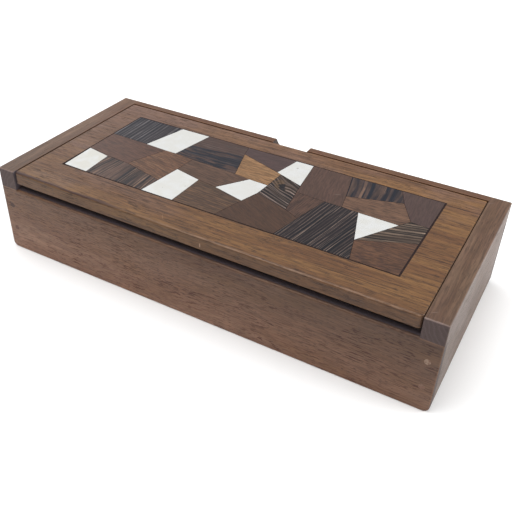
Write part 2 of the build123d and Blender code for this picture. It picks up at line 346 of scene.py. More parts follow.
rub = place(tree, "ShaderNodeTexNoise", {"Vector": gives["Place"], "Scale": 160.0, "Detail": 3.0})
ragged = sum_up(tree, "MULTIPLY_ADD", rub.outputs["Fac"], 1.6, 0.1)
reach = sum_up(tree, "MULTIPLY", gives["Reach"], ragged)
fill(tree, takes["Wear"], spread(tree, edge_in_mm, 0.0, reach, 1.0, 0.0))
print("group:", worn_edges.name)

# %% [markdown]
# ### Handling
# Years of hands leave the finish uneven: dull patches, faint smears and a few thin scuffs. The group
# gives a slow patchiness and a mask of fine scratches at two slants.

# %% The Handling group
handling, gives, takes = new_group(
    "Handling", {"Place": (ARROW, ORIGIN)}, {"Patches": NUMBER, "Scuffs": NUMBER}
)
tree = handling
slow = place(tree, "ShaderNodeTexNoise", {"Vector": gives["Place"], "Scale": 28.0, "Detail": 4.0})
fill(tree, takes["Patches"], spread(tree, slow.outputs["Fac"], 0.3, 0.7))
scratches = []
for slant in (33.0, -52.0):
    space = use_group(tree, grain_space, {
        "Place": gives["Place"], "Turn": slant, "Plank": (slant, 7.0, 3.0), "Wander": 4.0})
    lines = use_group(tree, pores, {
        "Grain": space["Grain"], "Length": 26.0, "Width": 1.4, "Size": 0.11, "Share": 0.06})
    scratches.append(lines["Pore"])
fill(tree, takes["Scuffs"], sum_up(tree, "MAXIMUM", *scratches))
print("group:", handling.name)

# %% [markdown]
# ### Painted gap shade
# Painted shade for the finger gap under the lid's front edge, where the lid shades the faces below it.
# The shade lies on faces that look one way, above a height, and between two places along the box's
# depth. With the way as an input, one group serves the top of the front wall and the inner faces of
# both end boards.

# %% The Painted Gap Shade group
UP = (0.0, 0.0, 1.0)
finger_dust, gives, takes = new_group(
    "Finger Dust",
    {
        "Place": (ARROW, ORIGIN), "Facing": (ARROW, UP), "Way": (ARROW, UP),
        "Above": (NUMBER, 0.0), "From": (NUMBER, -1.0), "To": (NUMBER, 1.0),
    },
    {"Dust": NUMBER},
)
tree = finger_dust
aim = spread(tree, sum_arrows(tree, "DOT_PRODUCT", gives["Facing"], gives["Way"]), 0.6, 0.95)
x, y, z = split(tree, gives["Place"])
high_up = sum_up(tree, "GREATER_THAN", z, gives["Above"])
behind = spread(tree, y, gives["From"], sum_up(tree, "ADD", gives["From"], 1 * MM))
before = spread(tree, y, sum_up(tree, "SUBTRACT", gives["To"], 3 * MM), gives["To"], 1.0, 0.0)
aimed = sum_up(tree, "MULTIPLY", aim, high_up)
fill(tree, takes["Dust"], sum_up(tree, "MULTIPLY", aimed, sum_up(tree, "MULTIPLY", behind, before)))
print("group:", finger_dust.name)

# %% [markdown]
# ## The boards
# All boards of the box are one kind of open-pored brown wood, oiled and rubbed to a low sheen. They
# differ in the way the fibres run and in the tone of the plank, and some carry painted light and
# shade. One finish serves them all: broad figure and blotches for the colour, dark lines and short
# pores for the texture, darker end grain, pale rubbed arrises that also carry a painted highlight, and
# a bump from the same pores so that the light breaks up on them.
#
# First come a few small tools: one opens a material, and the others lay colours over each other.

# %% Small tools for every material
SHEEN_ROUGHNESS = 0.42


def new_material(name):
    """A material with its shader wired to its output; gives the parts that the caller needs."""
    material = bpy.data.materials.new(name)
    material.use_nodes = True
    tree = material.node_tree
    tree.nodes.clear()
    shader = place(tree, "ShaderNodeBsdfPrincipled")
    output = place(tree, "ShaderNodeOutputMaterial")
    tree.links.new(shader.outputs[0], output.inputs[0])
    where = place(tree, "ShaderNodeTexCoord")
    return material, tree, shader, where


def dress(node, material):
    """Gives a piece its finish."""
    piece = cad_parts[node]
    piece.data.materials.clear()
    piece.data.materials.append(material)


def plank_offset(number):
    """A place in the tree for each piece, so that no two boards share a pattern."""
    return (137.0 * number % 911, 53.0 * number % 307, 29.0 * number % 211)


def lifted(colour, factor):
    """A colour made lighter or darker."""
    return tuple(factor * part for part in colour)


def scaled(colour, factor):
    """A colour made lighter or darker, as four numbers for a socket."""
    return tuple(min(1.0, part) for part in lifted(colour, factor)) + (1.0,)


def lay(tree, colour, mask, strength, over):
    """Lays a colour over another where a mask is, no stronger than the given strength."""
    return blend_colours(tree, sum_up(tree, "MULTIPLY", mask, strength), colour, over)


def shade(tree, colour, value, low, high):
    """Darkens and lightens a colour by a mask, from one factor to another."""
    soft = spread(tree, value, 0.0, 1.0, low, high)
    factor = place(tree, "ShaderNodeCombineColor", {0: soft, 1: soft, 2: soft})
    return blend_colours(tree, 1.0, colour, factor.outputs[0], "MULTIPLY")


def marks(tree, group, grain, **values):
    """Places a group that makes marks in grain space, such as Streaks, Pores or Light Lines."""
    return use_group(tree, group, {"Grain": grain, **values})[0]


print("material tools ready, sheen roughness", SHEEN_ROUGHNESS)

# %% [markdown]
# ### What makes one plank differ from another
# Every board has the same finish with its own values. The usual values stand in one table, and a
# board only names those that it changes. Lengths inside the plank are in millimetres. Places on the
# box are in metres, like everything in the scene.

# %% The usual plank
USUAL_PLANK = {
    "figure": 3.0,                  # width of the narrow and broad figure
    "lines": 0.5,                   # strength of the dark lines in the figure
    "rings": 2.6,                   # distance between year rings
    "ring_strength": 0.3,
    "pith": (0.0, 40.0, -160.0),    # the tree's middle, seen from the plank
    "wander": 5.0,                  # how far the fibres wander sideways
    "tick_length": 7.0,             # length of the opened pores
    "tick_low": 0.56,               # a lower value gives more of the long ticks
    "tick_share": 0.4,              # share of the fine ticks that is kept
    "ticks": 0.5,                   # strength of all ticks
    "slope": ORIGIN,                # makes the plank lighter toward one side
    "lean": ORIGIN,                 # draws the blotches toward one side; on the lid this paints the sheen at the back left
    "grime": 0.0,                   # darkens the long side faces
    "wear": 0.4,                    # strength of the rubbed arrises and their painted highlight
    "sheltered": (ORIGIN, ORIGIN),  # moves the corners of the rubbed, highlit band off the board
    "rubbed_from": None,            # arrises left of this X get neither the rubbed band nor the painted highlight
    "streak": None,                 # values for edge_streak
    "nick": None,                   # the place of a pale nick
    "dust": None,                   # values for the Painted Gap Shade group
}
BROWN_END = (0.034, 0.027, 0.025)
print("a usual plank has", len(USUAL_PLANK), "values")

# %% [markdown]
# ### The masks of a plank
# A mask is a grey pattern that says where something lies. Real timber has its marks at many scales:
# figure as wide as a thumb, lines as thin as a hair, ticks a few millimetres long. Each scale is one
# mask here, all in the same grain space, so that they bend together where the fibres bend.

# %% The masks of a plank
def board_masks(tree, where, number, turn, plank):
    """All the masks that the colour, the roughness and the bump of a board share, by name."""
    spot, facing = where.outputs["Object"], where.outputs["Normal"]
    offset = plank_offset(number)
    grain = use_group(tree, grain_space, {
        "Place": spot, "Turn": turn, "Plank": offset, "Wander": plank["wander"],
        "Wander Length": 110.0})["Grain"]
    late = use_group(tree, growth_rings, {
        "Grain": grain, "Pith": Vector(offset) + Vector(plank["pith"]), "Spacing": plank["rings"],
        "Unevenness": 2.2})["Late Wood"]
    hands = use_group(tree, handling, {"Place": spot})
    figure, tick_length, tick_low = plank["figure"], plank["tick_length"], plank["tick_low"]
    dashes = marks(
        tree, streaks, grain, Length=tick_length, Width=0.7, Low=tick_low, High=tick_low + 0.1)
    crowd = marks(tree, streaks, grain, Length=16.0, Width=9.0, Low=0.3, High=0.7)
    narrow = marks(tree, streaks, grain, Length=38.0, Width=figure * 0.26, Low=0.5, High=0.64)
    gather = marks(tree, streaks, grain, Length=70.0, Width=figure * 2.0, Low=0.4, High=0.62)
    return {
        "grain": grain,
        "late wood": late,
        "broad": marks(tree, streaks, grain, Length=90.0, Width=figure * 3.0, Low=0.36, High=0.66),
        "blotch": marks(tree, streaks, grain, Length=45.0, Width=14.0, Low=0.4, High=0.7),
        "lines": sum_up(tree, "MULTIPLY", narrow, gather),
        "fibres": marks(tree, streaks, grain, Length=9.0, Width=0.7, Low=0.3, High=0.7),
        "long ticks": sum_up(tree, "MULTIPLY", dashes, sum_up(tree, "MULTIPLY_ADD", crowd, 0.7, 0.3)),
        "fine ticks": marks(tree, pores, grain, Length=tick_length * 0.6, Width=0.55, Size=0.34,
                            Share=plank["tick_share"]),
        "across": use_group(tree, end_grain, {"Facing": facing, "Turn": turn})[0],
        "sides": use_group(tree, end_grain, {"Facing": facing, "Turn": turn + 90.0})[0],
        "scuffs": hands["Scuffs"],
        "patches": hands["Patches"],
    }


print("helper: board_masks")

# %% [markdown]
# ### The colour of a plank
# The colours lie over each other like coats: the middle tone and its light figure, a tint in
# blotches, dark lines and year rings, then the ticks. A slope in tone makes the plank lighter toward
# one side, and the long side faces can be darkened. The end grain comes last, with the arcs
# of the year rings across it.

# %% The colour of a plank
def board_colour(tree, where, masks, tones, plank):
    """Lays the plank's tones over each other, from the broad figure to the end grain."""
    spot = where.outputs["Object"]
    dark = tones["dark"]
    # The blotches lean toward one side; on the lid the greyer tint at the back left is a painted
    # sheen.
    leaning = sum_arrows(tree, "DOT_PRODUCT", spot, plank["lean"])
    tinted = sum_up(tree, "MULTIPLY_ADD", masks["blotch"], 0.6, leaning, clamp=True)
    colour = blend_colours(tree, masks["broad"], (*tones["middle"], 1), (*tones["light"], 1))
    colour = lay(tree, colour, tinted, 0.85, (*tones["tint"], 1))
    colour = lay(tree, colour, masks["lines"], plank["lines"], (*dark, 1))
    colour = lay(tree, colour, masks["late wood"], plank["ring_strength"], (*dark, 1))
    colour = shade(tree, colour, masks["fibres"], 0.82, 1.17)
    colour = lay(tree, colour, masks["long ticks"], plank["ticks"], scaled(dark, 0.7))
    colour = lay(tree, colour, masks["fine ticks"], plank["ticks"], scaled(dark, 0.6))
    sloping = sum_arrows(tree, "DOT_PRODUCT", spot, plank["slope"])
    colour = shade(tree, colour, sum_up(tree, "ADD", sloping, 0.5), 0.0, 2.0)
    # Darkens the long side faces of the board.
    colour = lay(tree, colour, masks["sides"], plank["grime"], scaled(dark, 0.8))
    colour = lay(tree, colour, masks["across"], 0.85, (*tones["end"], 1))
    arcs = sum_up(tree, "MULTIPLY", masks["across"], masks["late wood"])
    return lay(tree, colour, arcs, 0.35, scaled(tones["end"], 2.0))


print("helper: board_colour")

# %% [markdown]
# ### The lid's own marks
# Two marks belong to the lid alone: a dark red streak along its front arris, and a pale nick in the
# same edge. Each is a mask made from the place on the piece. Plain functions are enough for them,
# because no other finish uses them.

# %% The lid's own marks
STREAK_RED = (0.024, 0.006, 0.006, 1)


def edge_streak(tree, spot, grain, top, middle_y, half_width, last_x):
    """A mask for a streak that lies over the front arris and fades out toward the right."""
    x, y, z = split(tree, spot)
    sway = marks(tree, streaks, grain, Length=60.0, Width=12.0, Low=0.3, High=0.7)
    middle_here = sum_up(tree, "MULTIPLY_ADD", sway, half_width, middle_y)
    depth = sum_up(tree, "SUBTRACT", z, top)
    over_edge = sum_up(tree, "ADD", y, depth)
    aside = sum_up(tree, "ABSOLUTE", sum_up(tree, "SUBTRACT", over_edge, middle_here))
    across_line = spread(tree, aside, half_width * 0.2, half_width, 1.0, 0.0)
    along_line = spread(tree, x, last_x - 30 * MM, last_x, 1.0, 0.0)
    near_top = spread(tree, depth, -5 * MM, -3 * MM)
    return sum_up(tree, "MULTIPLY", sum_up(tree, "MULTIPLY", across_line, along_line), near_top)


def pale_nick(tree, spot, middle):
    """A mask for a short upright nick."""
    away = sum_arrows(tree, "SUBTRACT", spot, middle)
    slim = sum_arrows(tree, "MULTIPLY", away, (1.0, 0.3, 0.3))
    return spread(tree, sum_arrows(tree, "LENGTH", slim), 0.2 * MM, 0.5 * MM, 1.0, 0.0)


print("helpers: edge_streak, pale_nick")

# %% [markdown]
# ### What use and painted light have done to a board
# Rubbed arrises, which also carry a painted highlight, and scuffs lie over the colour of the wood, and
# so do the marks of single boards and the painted shade in the finger gap. A board's sheltered edges,
# such as those inside a joint, were never rubbed: the corners of their rubbed, highlit band are moved
# off the board.

# %% What use and painted light have done to a board
# Painted shade for the finger gap, a cool dark grey.
DUST_GREY = (0.110, 0.095, 0.110, 1)


def board_use(tree, where, node, masks, colour, tones, plank):
    """Lays rubbed arrises with their painted highlight, scuffs, the board's own marks and the painted
    gap shade over its colour.
    """
    spot = where.outputs["Object"]
    rubbed = (*tones["rubbed"], 1)
    low, high = (corner + Vector(move) for corner, move in zip(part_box(node), plank["sheltered"]))
    # The rubbed band is pale wear and also a painted highlight on the arrises.
    worn = use_group(tree, worn_edges, {
        "Place": spot, "Low Corner": low, "High Corner": high, "Reach": 0.9})["Wear"]
    if plank["rubbed_from"] is not None:
        first_x = plank["rubbed_from"]
        to_the_right = spread(tree, split(tree, spot)[0], first_x, first_x + 50 * MM)
        worn = sum_up(tree, "MULTIPLY", worn, to_the_right)
    colour = lay(tree, colour, worn, plank["wear"], rubbed)
    colour = lay(tree, colour, masks["scuffs"], 0.3, rubbed)
    if plank["streak"] is not None:
        streak = edge_streak(tree, spot, masks["grain"], high[2], **plank["streak"])
        colour = lay(tree, colour, streak, 0.85, STREAK_RED)
    if plank["nick"] is not None:
        colour = lay(tree, colour, pale_nick(tree, spot, plank["nick"]), 0.7, rubbed)
    # Painted shade in the finger gap, where the lid shades the faces below it.
    if plank["dust"] is not None:
        dust = use_group(tree, finger_dust, {
            "Place": spot, "Facing": where.outputs["Normal"], **plank["dust"]})["Dust"]
        colour = lay(tree, colour, dust, 0.85, DUST_GREY)
    return colour


print("helper: board_use")

# %% [markdown]
# ### The surface of a board
# Oil rubbed by hand gives a low, slightly patchy sheen. End grain and open pores stay duller, because
# they drink the oil. The ticks are sunk a twentieth of a millimetre, and the fibres stand up less.

# %% The surface of a board
def board_surface(tree, shader, masks, colour):
    """Fills the shader's colour, roughness and normal."""
    rough = spread(tree, masks["patches"], 0.0, 1.0, SHEEN_ROUGHNESS - 0.03, SHEEN_ROUGHNESS + 0.04)
    rough = sum_up(tree, "MULTIPLY_ADD", masks["across"], 0.16, rough)
    rough = sum_up(tree, "MULTIPLY_ADD", masks["long ticks"], 0.2, rough)
    sunk = sum_up(tree, "MAXIMUM", masks["long ticks"], masks["fine ticks"])
    relief = sum_up(tree, "MULTIPLY_ADD", sunk, -1.0, sum_up(tree, "MULTIPLY", masks["fibres"], 0.35))
    bump = place(tree, "ShaderNodeBump", {"Height": relief, "Strength": 0.8, "Distance": 0.05 * MM})
    fill(tree, shader.inputs["Base Color"], colour)
    fill(tree, shader.inputs["Roughness"], rough)
    fill(tree, shader.inputs["Normal"], bump.outputs[0])
    shader.inputs["IOR"].default_value = 1.4


def dress_board(node, number, turn, tones, name=None, **own):
    """Gives a board its finish: number picks its place in the tree, turn the way of its fibres."""
    plank = {**USUAL_PLANK, **own}
    material, tree, shader, where = new_material(name or node.replace("_", " "))
    masks = board_masks(tree, where, number, turn, plank)
    colour = board_colour(tree, where, masks, tones, plank)
    colour = board_use(tree, where, node, masks, colour, tones, plank)
    board_surface(tree, shader, masks, colour)
    dress(node, material)


print("helpers: board_surface, dress_board")

# %% [markdown]
# ### The lid board
# The lid is the best plank: straight fibres along its length, golden toward the front and the
# right, browner at the left, with fine dark lines gathered in a few places. Greyer blotches drawn
# toward the back left paint its sheen there. Its front arris is rubbed pale and carries a painted
# highlight from the middle to the right. At the left a dark red streak runs over it.

# %% Dress the lid board
LID_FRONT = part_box("lid_board")[0][1]
OFF_THE_BOARD = 10 * MM
dress_board(
    "lid_board", 3, 0.0, name="lid plank",
    tones=dict(
        middle=(0.109, 0.048, 0.018), light=(0.158, 0.077, 0.027), dark=(0.042, 0.018, 0.009),
        tint=(0.143, 0.083, 0.064), rubbed=(0.360, 0.225, 0.150), end=(0.050, 0.030, 0.020)),
    lines=0.95, rings=3.4, pith=(0.0, 300.0, -60.0), wander=7.0, tick_low=0.53, tick_share=0.3,
    ticks=0.85, slope=(0.12, 0.4, 0.0), lean=(-4.0, 8.0, 0.0), grime=0.12, wear=0.6,
    sheltered=((-OFF_THE_BOARD, 0.0, -OFF_THE_BOARD), (OFF_THE_BOARD, OFF_THE_BOARD, 0.0)),
    rubbed_from=-40 * MM, nick=(5 * MM, -56 * MM, 47 * MM),
    streak=dict(middle_y=LID_FRONT - 0.1 * MM, half_width=1.6 * MM, last_x=-30 * MM))
print("lid board dressed, front at", round(LID_FRONT / MM, 2), "mm")

# %% [markdown]
# ### The end boards
# The fibres of the end boards run from front to back, so their tips show end grain at the front:
# dark blocks beside the finger gap, with the arcs of the year rings across them. The left board is
# painted lighter and the right one darker, as the light falls on them. The faces of the tips that
# look into the gap carry painted shade.

# %% Dress the end boards
WALL_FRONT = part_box("front_wall")[0][1]
WALL_INNER_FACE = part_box("front_wall")[1][1]
WALL_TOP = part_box("front_wall")[1][2]
# The lifts paint the left end board lighter and the right one darker, as lit and shaded copies of one
# plank.
END_BOARDS = (("left_end_board", 11, 1.02, 1.0), ("right_end_board", 17, 0.90, -1.0))
for node, number, lift, inward in END_BOARDS:
    dress_board(
        node, number, 90.0,
        tones=dict(
            middle=lifted((0.090, 0.047, 0.026), lift), light=lifted((0.134, 0.078, 0.048), lift),
            dark=(0.044, 0.023, 0.015), tint=lifted((0.106, 0.052, 0.035), lift),
            rubbed=(0.380, 0.280, 0.250), end=lifted((0.053, 0.033, 0.032), lift)),
        figure=2.6, lines=0.65, rings=2.2, ring_strength=0.25, pith=(0.0, 6.0, -20.0), tick_share=0.25,
        slope=(0.0, 0.9, 0.0), wear=0.42,
        sheltered=((-OFF_THE_BOARD, 0.0, 0.0), (OFF_THE_BOARD, 0.0, 0.0)),
        dust={"Way": (inward, 0.0, 0.0), "Above": WALL_TOP, "From": WALL_FRONT - 2 * MM,
              "To": WALL_INNER_FACE})
print("end boards dressed, tips start", round(WALL_TOP / MM, 1), "mm up")

# %% [markdown]
# ### The walls
# The front and back walls come from a redder plank with olive blotches and many short dark pores.
# The plank is lighter toward its lower edge and its left end. Painted shade lies on the front wall's
# top, inside the finger gap under the lid, but not on its rubbed, highlit front arris.

# %% Dress the walls
# Where the painted gap shade lies on the front wall's top.
GAP_DUST = {"Way": UP, "Above": WALL_TOP - 0.5 * MM, "From": WALL_FRONT + 0.8 * MM, "To": 0.0}
WALLS = (
    ("front_wall", 23, 1.4, (-0.35, 0.0, -4.2), GAP_DUST),
    ("back_wall", 31, 0.78, ORIGIN, None),
)
for node, number, lift, slope, dust in WALLS:
    dress_board(
        node, number, 1.5,
        tones=dict(
            middle=lifted((0.128, 0.063, 0.037), lift), light=lifted((0.156, 0.084, 0.052), lift),
            dark=(0.112, 0.040, 0.025), tint=lifted((0.122, 0.057, 0.025), lift),
            rubbed=(0.290, 0.150, 0.085), end=BROWN_END),
        figure=4.0, lines=0.3, rings=6.0, ring_strength=0.12, pith=(0.0, -300.0, 20.0), wander=9.0,
        tick_length=5.0, tick_low=0.515, tick_share=0.3, ticks=0.95, slope=slope,
        lean=(0.0, 0.0, 12.0), wear=0.3, dust=dust)
print("walls dressed")

# %% [markdown]
# ### Inside: the bottom panel and the lid rests
# The hidden parts are plainer and lighter, because nobody oils them as often.

# %% Dress the inside
for node, number, turn in (
        ("bottom_panel", 41, 0.0), ("lid_rest_left", 43, 90.0), ("lid_rest_right", 47, 90.0)):
    dress_board(
        node, number, turn,
        tones=dict(
            middle=(0.210, 0.130, 0.075), light=(0.280, 0.185, 0.110), dark=(0.130, 0.075, 0.042),
            tint=(0.190, 0.105, 0.060), rubbed=(0.330, 0.230, 0.150), end=BROWN_END),
        rings=5.0, pith=(0.0, 0.0, -120.0), tick_share=0.3, ticks=0.4, wear=0.15)
print("inside dressed")

# %% [markdown]
# ### The pegs
# Wooden pegs hold the walls to the end boards. Their ends are sanded flush. The right-hand ones are
# pale, the left-hand ones took up as much oil as the wall, and old finish hides part of each.

# %% Dress the pegs
STAIN_LOW, STAIN_HIGH = 16 * MM, 27 * MM
HALFWAY = 10 * MM


def peg_material():
    """Flush peg ends, pale at the right of the box and dark at the left."""
    material, tree, shader, where = new_material("peg ends")
    spot = where.outputs["Object"]
    grain = use_group(tree, grain_space, {"Place": spot, "Turn": 90.0, "Wander": 0.4})["Grain"]
    fibre = marks(tree, streaks, grain, Length=12.0, Width=0.25, Low=0.3, High=0.7)
    cover = marks(tree, streaks, grain, Length=30.0, Width=1.6, Low=0.42, High=0.56)
    x, y, z = split(tree, spot)
    low_down = spread(tree, z, STAIN_LOW, STAIN_HIGH, 0.75, 0.0)
    right = spread(tree, x, -HALFWAY, HALFWAY)
    cover = sum_up(tree, "MULTIPLY_ADD", cover, right, low_down, clamp=True)
    colour = blend_colours(tree, right, (0.060, 0.030, 0.024, 1), (0.250, 0.165, 0.115, 1))
    colour = lay(tree, colour, cover, 0.9, (0.150, 0.072, 0.045, 1))
    colour = shade(tree, colour, fibre, 0.7, 1.1)
    fill(tree, shader.inputs["Base Color"], colour)
    fill(tree, shader.inputs["Roughness"], spread(tree, fibre, 0.0, 1.0, 0.5, 0.62))
    shader.inputs["IOR"].default_value = 1.4
    return material


for node in ("front_pegs", "back_pegs"):
    dress(node, peg_material())
print("pegs dressed")

# %% [markdown]
# ## The inlay
# The tiles are cut from many offcuts, set in the lid and sanded flush together. So all of them share
# one rubbed surface, and each has its own way of the fibres. Grain space is turned about the tile's
# own middle, so that turning a tile's grain doesn't slide it.

# %% How every tile starts and ends
TILE_ROUGHNESS = 0.4
TILE_WANDER_LENGTH = 45.0


def tile_start(node, number, turn, wander, fan=0.0):
    """A new material with grain space turned about the tile's own middle."""
    material, tree, shader, where = new_material(node.replace("_", " "))
    low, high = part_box(node)
    centre = (low + high) / 2 / MM
    grain = use_group(tree, grain_space, {
        "Place": where.outputs["Object"], "Middle": centre, "Turn": turn, "Wander": wander,
        "Plank": plank_offset(number), "Fan": fan, "Wander Length": TILE_WANDER_LENGTH})["Grain"]
    return material, tree, shader, where, grain


def tile_finish(tree, shader, where, colour, relief, depth=0.03 * MM, gloss=1.4):
    """The rubbed surface that all tiles share: patchy sheen, faint scuffs and a slight relief."""
    hands = use_group(tree, handling, {"Place": where.outputs["Object"]})
    colour = lay(tree, colour, hands["Scuffs"], 0.18, (0.5, 0.45, 0.4, 1))
    rough = spread(tree, hands["Patches"], 0.0, 1.0, TILE_ROUGHNESS - 0.03, TILE_ROUGHNESS + 0.04)
    bump = place(tree, "ShaderNodeBump", {"Height": relief, "Strength": 0.8, "Distance": depth})
    fill(tree, shader.inputs["Base Color"], colour)
    fill(tree, shader.inputs["Roughness"], rough)
    fill(tree, shader.inputs["Normal"], bump.outputs[0])
    shader.inputs["IOR"].default_value = gloss


print("helpers: tile_start, tile_finish")

# %% [markdown]
# ### The plain woods
# Plain brown tiles share one finish: a base colour, long soft streaks, fine fibres and small dark
# flecks. Some also carry faint light lines. One function with a few values is enough for all.

# %% The plain tile finish
def plain_tile(node, number, turn, base, dark, light, figure=2.0, wander=4.0, fleck=0.3,
               strength=0.7, lined=None, fibres=1.0):
    """A tile of one brown wood; fibres says how strongly the fine lines show."""
    material, tree, shader, where, grain = tile_start(node, number, turn, wander)
    broad = marks(tree, streaks, grain, Length=40.0, Width=figure * 2.2, Low=0.38, High=0.62)
    narrow = marks(tree, streaks, grain, Length=14.0, Width=figure * 0.4, Low=0.46, High=0.66)
    fibre = marks(tree, streaks, grain, Length=6.0, Width=0.7, Low=0.3, High=0.7)
    ticks = marks(tree, pores, grain, Length=4.5, Width=0.8, Size=0.34, Share=fleck)
    colour = lay(tree, (*base, 1), broad, strength, (*light, 1))
    colour = lay(tree, colour, narrow, strength, (*dark, 1))
    if lined is not None:
        spacing, pale = lined
        line = marks(tree, light_lines, grain, Spacing=spacing, Thickness=0.6, Wobble=1.5)
        colour = lay(tree, colour, line, 0.8, (*pale, 1))
    colour = shade(tree, colour, fibre, 1.0 - 0.36 * fibres, 1.0 + 0.34 * fibres)
    colour = lay(tree, colour, ticks, 0.6, scaled(dark, 0.6))
    relief = sum_up(tree, "MULTIPLY_ADD", ticks, -1.0, sum_up(tree, "MULTIPLY", fibre, 0.3))
    tile_finish(tree, shader, where, colour, relief)
    dress(node, material)


print("helper: plain_tile")

# %% [markdown]
# ### Brown, red-brown, purple, yellow and orange tiles
# Each call below is one offcut: which way its fibres run, in degrees from the box's length, and its
# base, dark and light colours.

# %% Dress the brown and red-brown tiles
plain_tile("tile_brown_left", 1, -9,
           (0.060, 0.027, 0.018), (0.041, 0.018, 0.012), (0.075, 0.035, 0.023), strength=0.5)
plain_tile("tile_brown_middle", 2, -7,
           (0.058, 0.030, 0.019), (0.035, 0.017, 0.011), (0.081, 0.043, 0.028), figure=1.6)
plain_tile("tile_brown_front", 3, -2,
           (0.048, 0.026, 0.015), (0.025, 0.013, 0.011), (0.065, 0.036, 0.021),
           figure=2.6, strength=0.9, lined=(1.7, (0.110, 0.054, 0.027)))
plain_tile("tile_brown_speckled_front", 4, -30,
           (0.044, 0.020, 0.011), (0.032, 0.014, 0.009), (0.053, 0.026, 0.015),
           wander=1.0, fleck=0.85, strength=0.5, fibres=0.6)
plain_tile("tile_redbrown_left", 5, -12,
           (0.088, 0.040, 0.021), (0.042, 0.020, 0.013), (0.124, 0.062, 0.034),
           figure=1.5, fleck=0.5, strength=0.85)
plain_tile("tile_redbrown_centre", 6, 84,
           (0.040, 0.019, 0.013), (0.024, 0.011, 0.009), (0.057, 0.028, 0.018),
           figure=1.4, lined=(1.2, (0.069, 0.033, 0.022)))
plain_tile("tile_redbrown_front_right", 7, 8,
           (0.064, 0.028, 0.014), (0.034, 0.015, 0.012), (0.087, 0.040, 0.021),
           figure=3.0, wander=14.0)
plain_tile("tile_mahogany_back", 8, 100,
           (0.053, 0.027, 0.019), (0.038, 0.018, 0.014), (0.070, 0.035, 0.026),
           figure=2.4, strength=0.6, fleck=0.4, fibres=0.5)
print("brown tiles dressed")

# %% [markdown]
# The purple offcuts are dense and fine, so their fibres show only half as much. The yellow and the
# orange one have wavy grain, which is a long way for the fibres to wander.

# %% Dress the purple, yellow and orange tiles
plain_tile("tile_purple_back", 9, 4,
           (0.046, 0.026, 0.025), (0.035, 0.019, 0.019), (0.054, 0.030, 0.028),
           strength=0.5, fleck=0.2, fibres=0.5)
plain_tile("tile_purple_back_right", 10, 96,
           (0.047, 0.026, 0.022), (0.040, 0.020, 0.020), (0.056, 0.032, 0.028),
           strength=0.5, fleck=0.12, fibres=0.5)
plain_tile("tile_yellow_centre", 12, -6,
           (0.174, 0.092, 0.040), (0.116, 0.056, 0.025), (0.211, 0.118, 0.055),
           figure=2.2, wander=8.0, fleck=0.15)
plain_tile("tile_orange_right", 13, 3,
           (0.085, 0.043, 0.026), (0.048, 0.023, 0.016), (0.112, 0.059, 0.034),
           figure=1.8, wander=10.0)
print("purple, yellow and orange tiles dressed")

# %% [markdown]
# ### A knot and a band of heartwood
# One striped tile was cut beside a knot. The fibres swerve round it. The knot has a black heart with
# a light brown smear beside it. The swerve is a soft hill added to the sideways coordinate, highest
# at the knot. Another tile has a black band of heartwood through its middle with ragged edges.

# %% The knot and the heartwood band
def bend_round_knot(tree, where, grain, knot):
    """Pushes the fibres aside round a knot; gives the bent grain, the heart and the smear."""
    middle, size, push, lie = knot
    torn = place(tree, "ShaderNodeTexNoise", {"Vector": grain, "Scale": 0.45, "Detail": 3.0})
    off = sum_arrows(tree, "SUBTRACT", where.outputs["Object"], middle)
    along = place(
        tree, "ShaderNodeVectorRotate", {"Vector": off, "Angle": math.radians(lie)},
        rotation_type="Z_AXIS")
    flattened = sum_arrows(tree, "MULTIPLY", along.outputs[0], (0.5, 1.0, 0.0))
    far = sum_up(tree, "DIVIDE", sum_arrows(tree, "LENGTH", flattened), size)
    hill = sum_up(tree, "EXPONENT", sum_up(tree, "MULTIPLY", sum_up(tree, "MULTIPLY", far, far), -0.3))
    aside = place(tree, "ShaderNodeCombineXYZ", {1: sum_up(tree, "MULTIPLY", hill, push)})
    bent = sum_arrows(tree, "ADD", grain, aside.outputs[0])
    ragged = sum_up(tree, "MULTIPLY_ADD", torn.outputs["Fac"], 3.2, sum_up(tree, "SUBTRACT", far, 1.6))
    heart = spread(tree, ragged, 0.7, 1.1, 1.0, 0.0)
    left = spread(tree, split(tree, off)[0], -1 * MM, 1 * MM, 1.0, 0.15)
    smear = sum_up(tree, "MULTIPLY", spread(tree, ragged, 1.5, 2.3, 1.0, 0.0), left)
    return bent, heart, smear


def dark_heart(tree, where, grain, band):
    """A dark band at a height across the tile, tilted a little, with ragged edges."""
    middle, half_width, tilt = band
    x, y, z = split(tree, where.outputs["Object"])
    off = sum_up(tree, "SUBTRACT", y, sum_up(tree, "MULTIPLY_ADD", x, tilt, middle))
    tear = marks(tree, streaks, grain, Length=22.0, Width=2.4, Low=0.25, High=0.75)
    torn = sum_up(tree, "MULTIPLY_ADD", sum_up(tree, "SUBTRACT", tear, 0.5), 16 * MM, off)
    inside = sum_up(tree, "ABSOLUTE", torn)
    return spread(tree, inside, half_width - 0.6 * MM, half_width + 0.6 * MM, 1.0, 0.0)


print("helpers: bend_round_knot, dark_heart")

# %% [markdown]
# ### Dark striped tiles
# Zebra-like woods are near black with thin light lines, sharply cut. Two sets of lines at spacings
# that never fall into step look less regular than one, and a wide streak makes them gather in
# bunches. Another wide streak lays brown bands on the black between them.

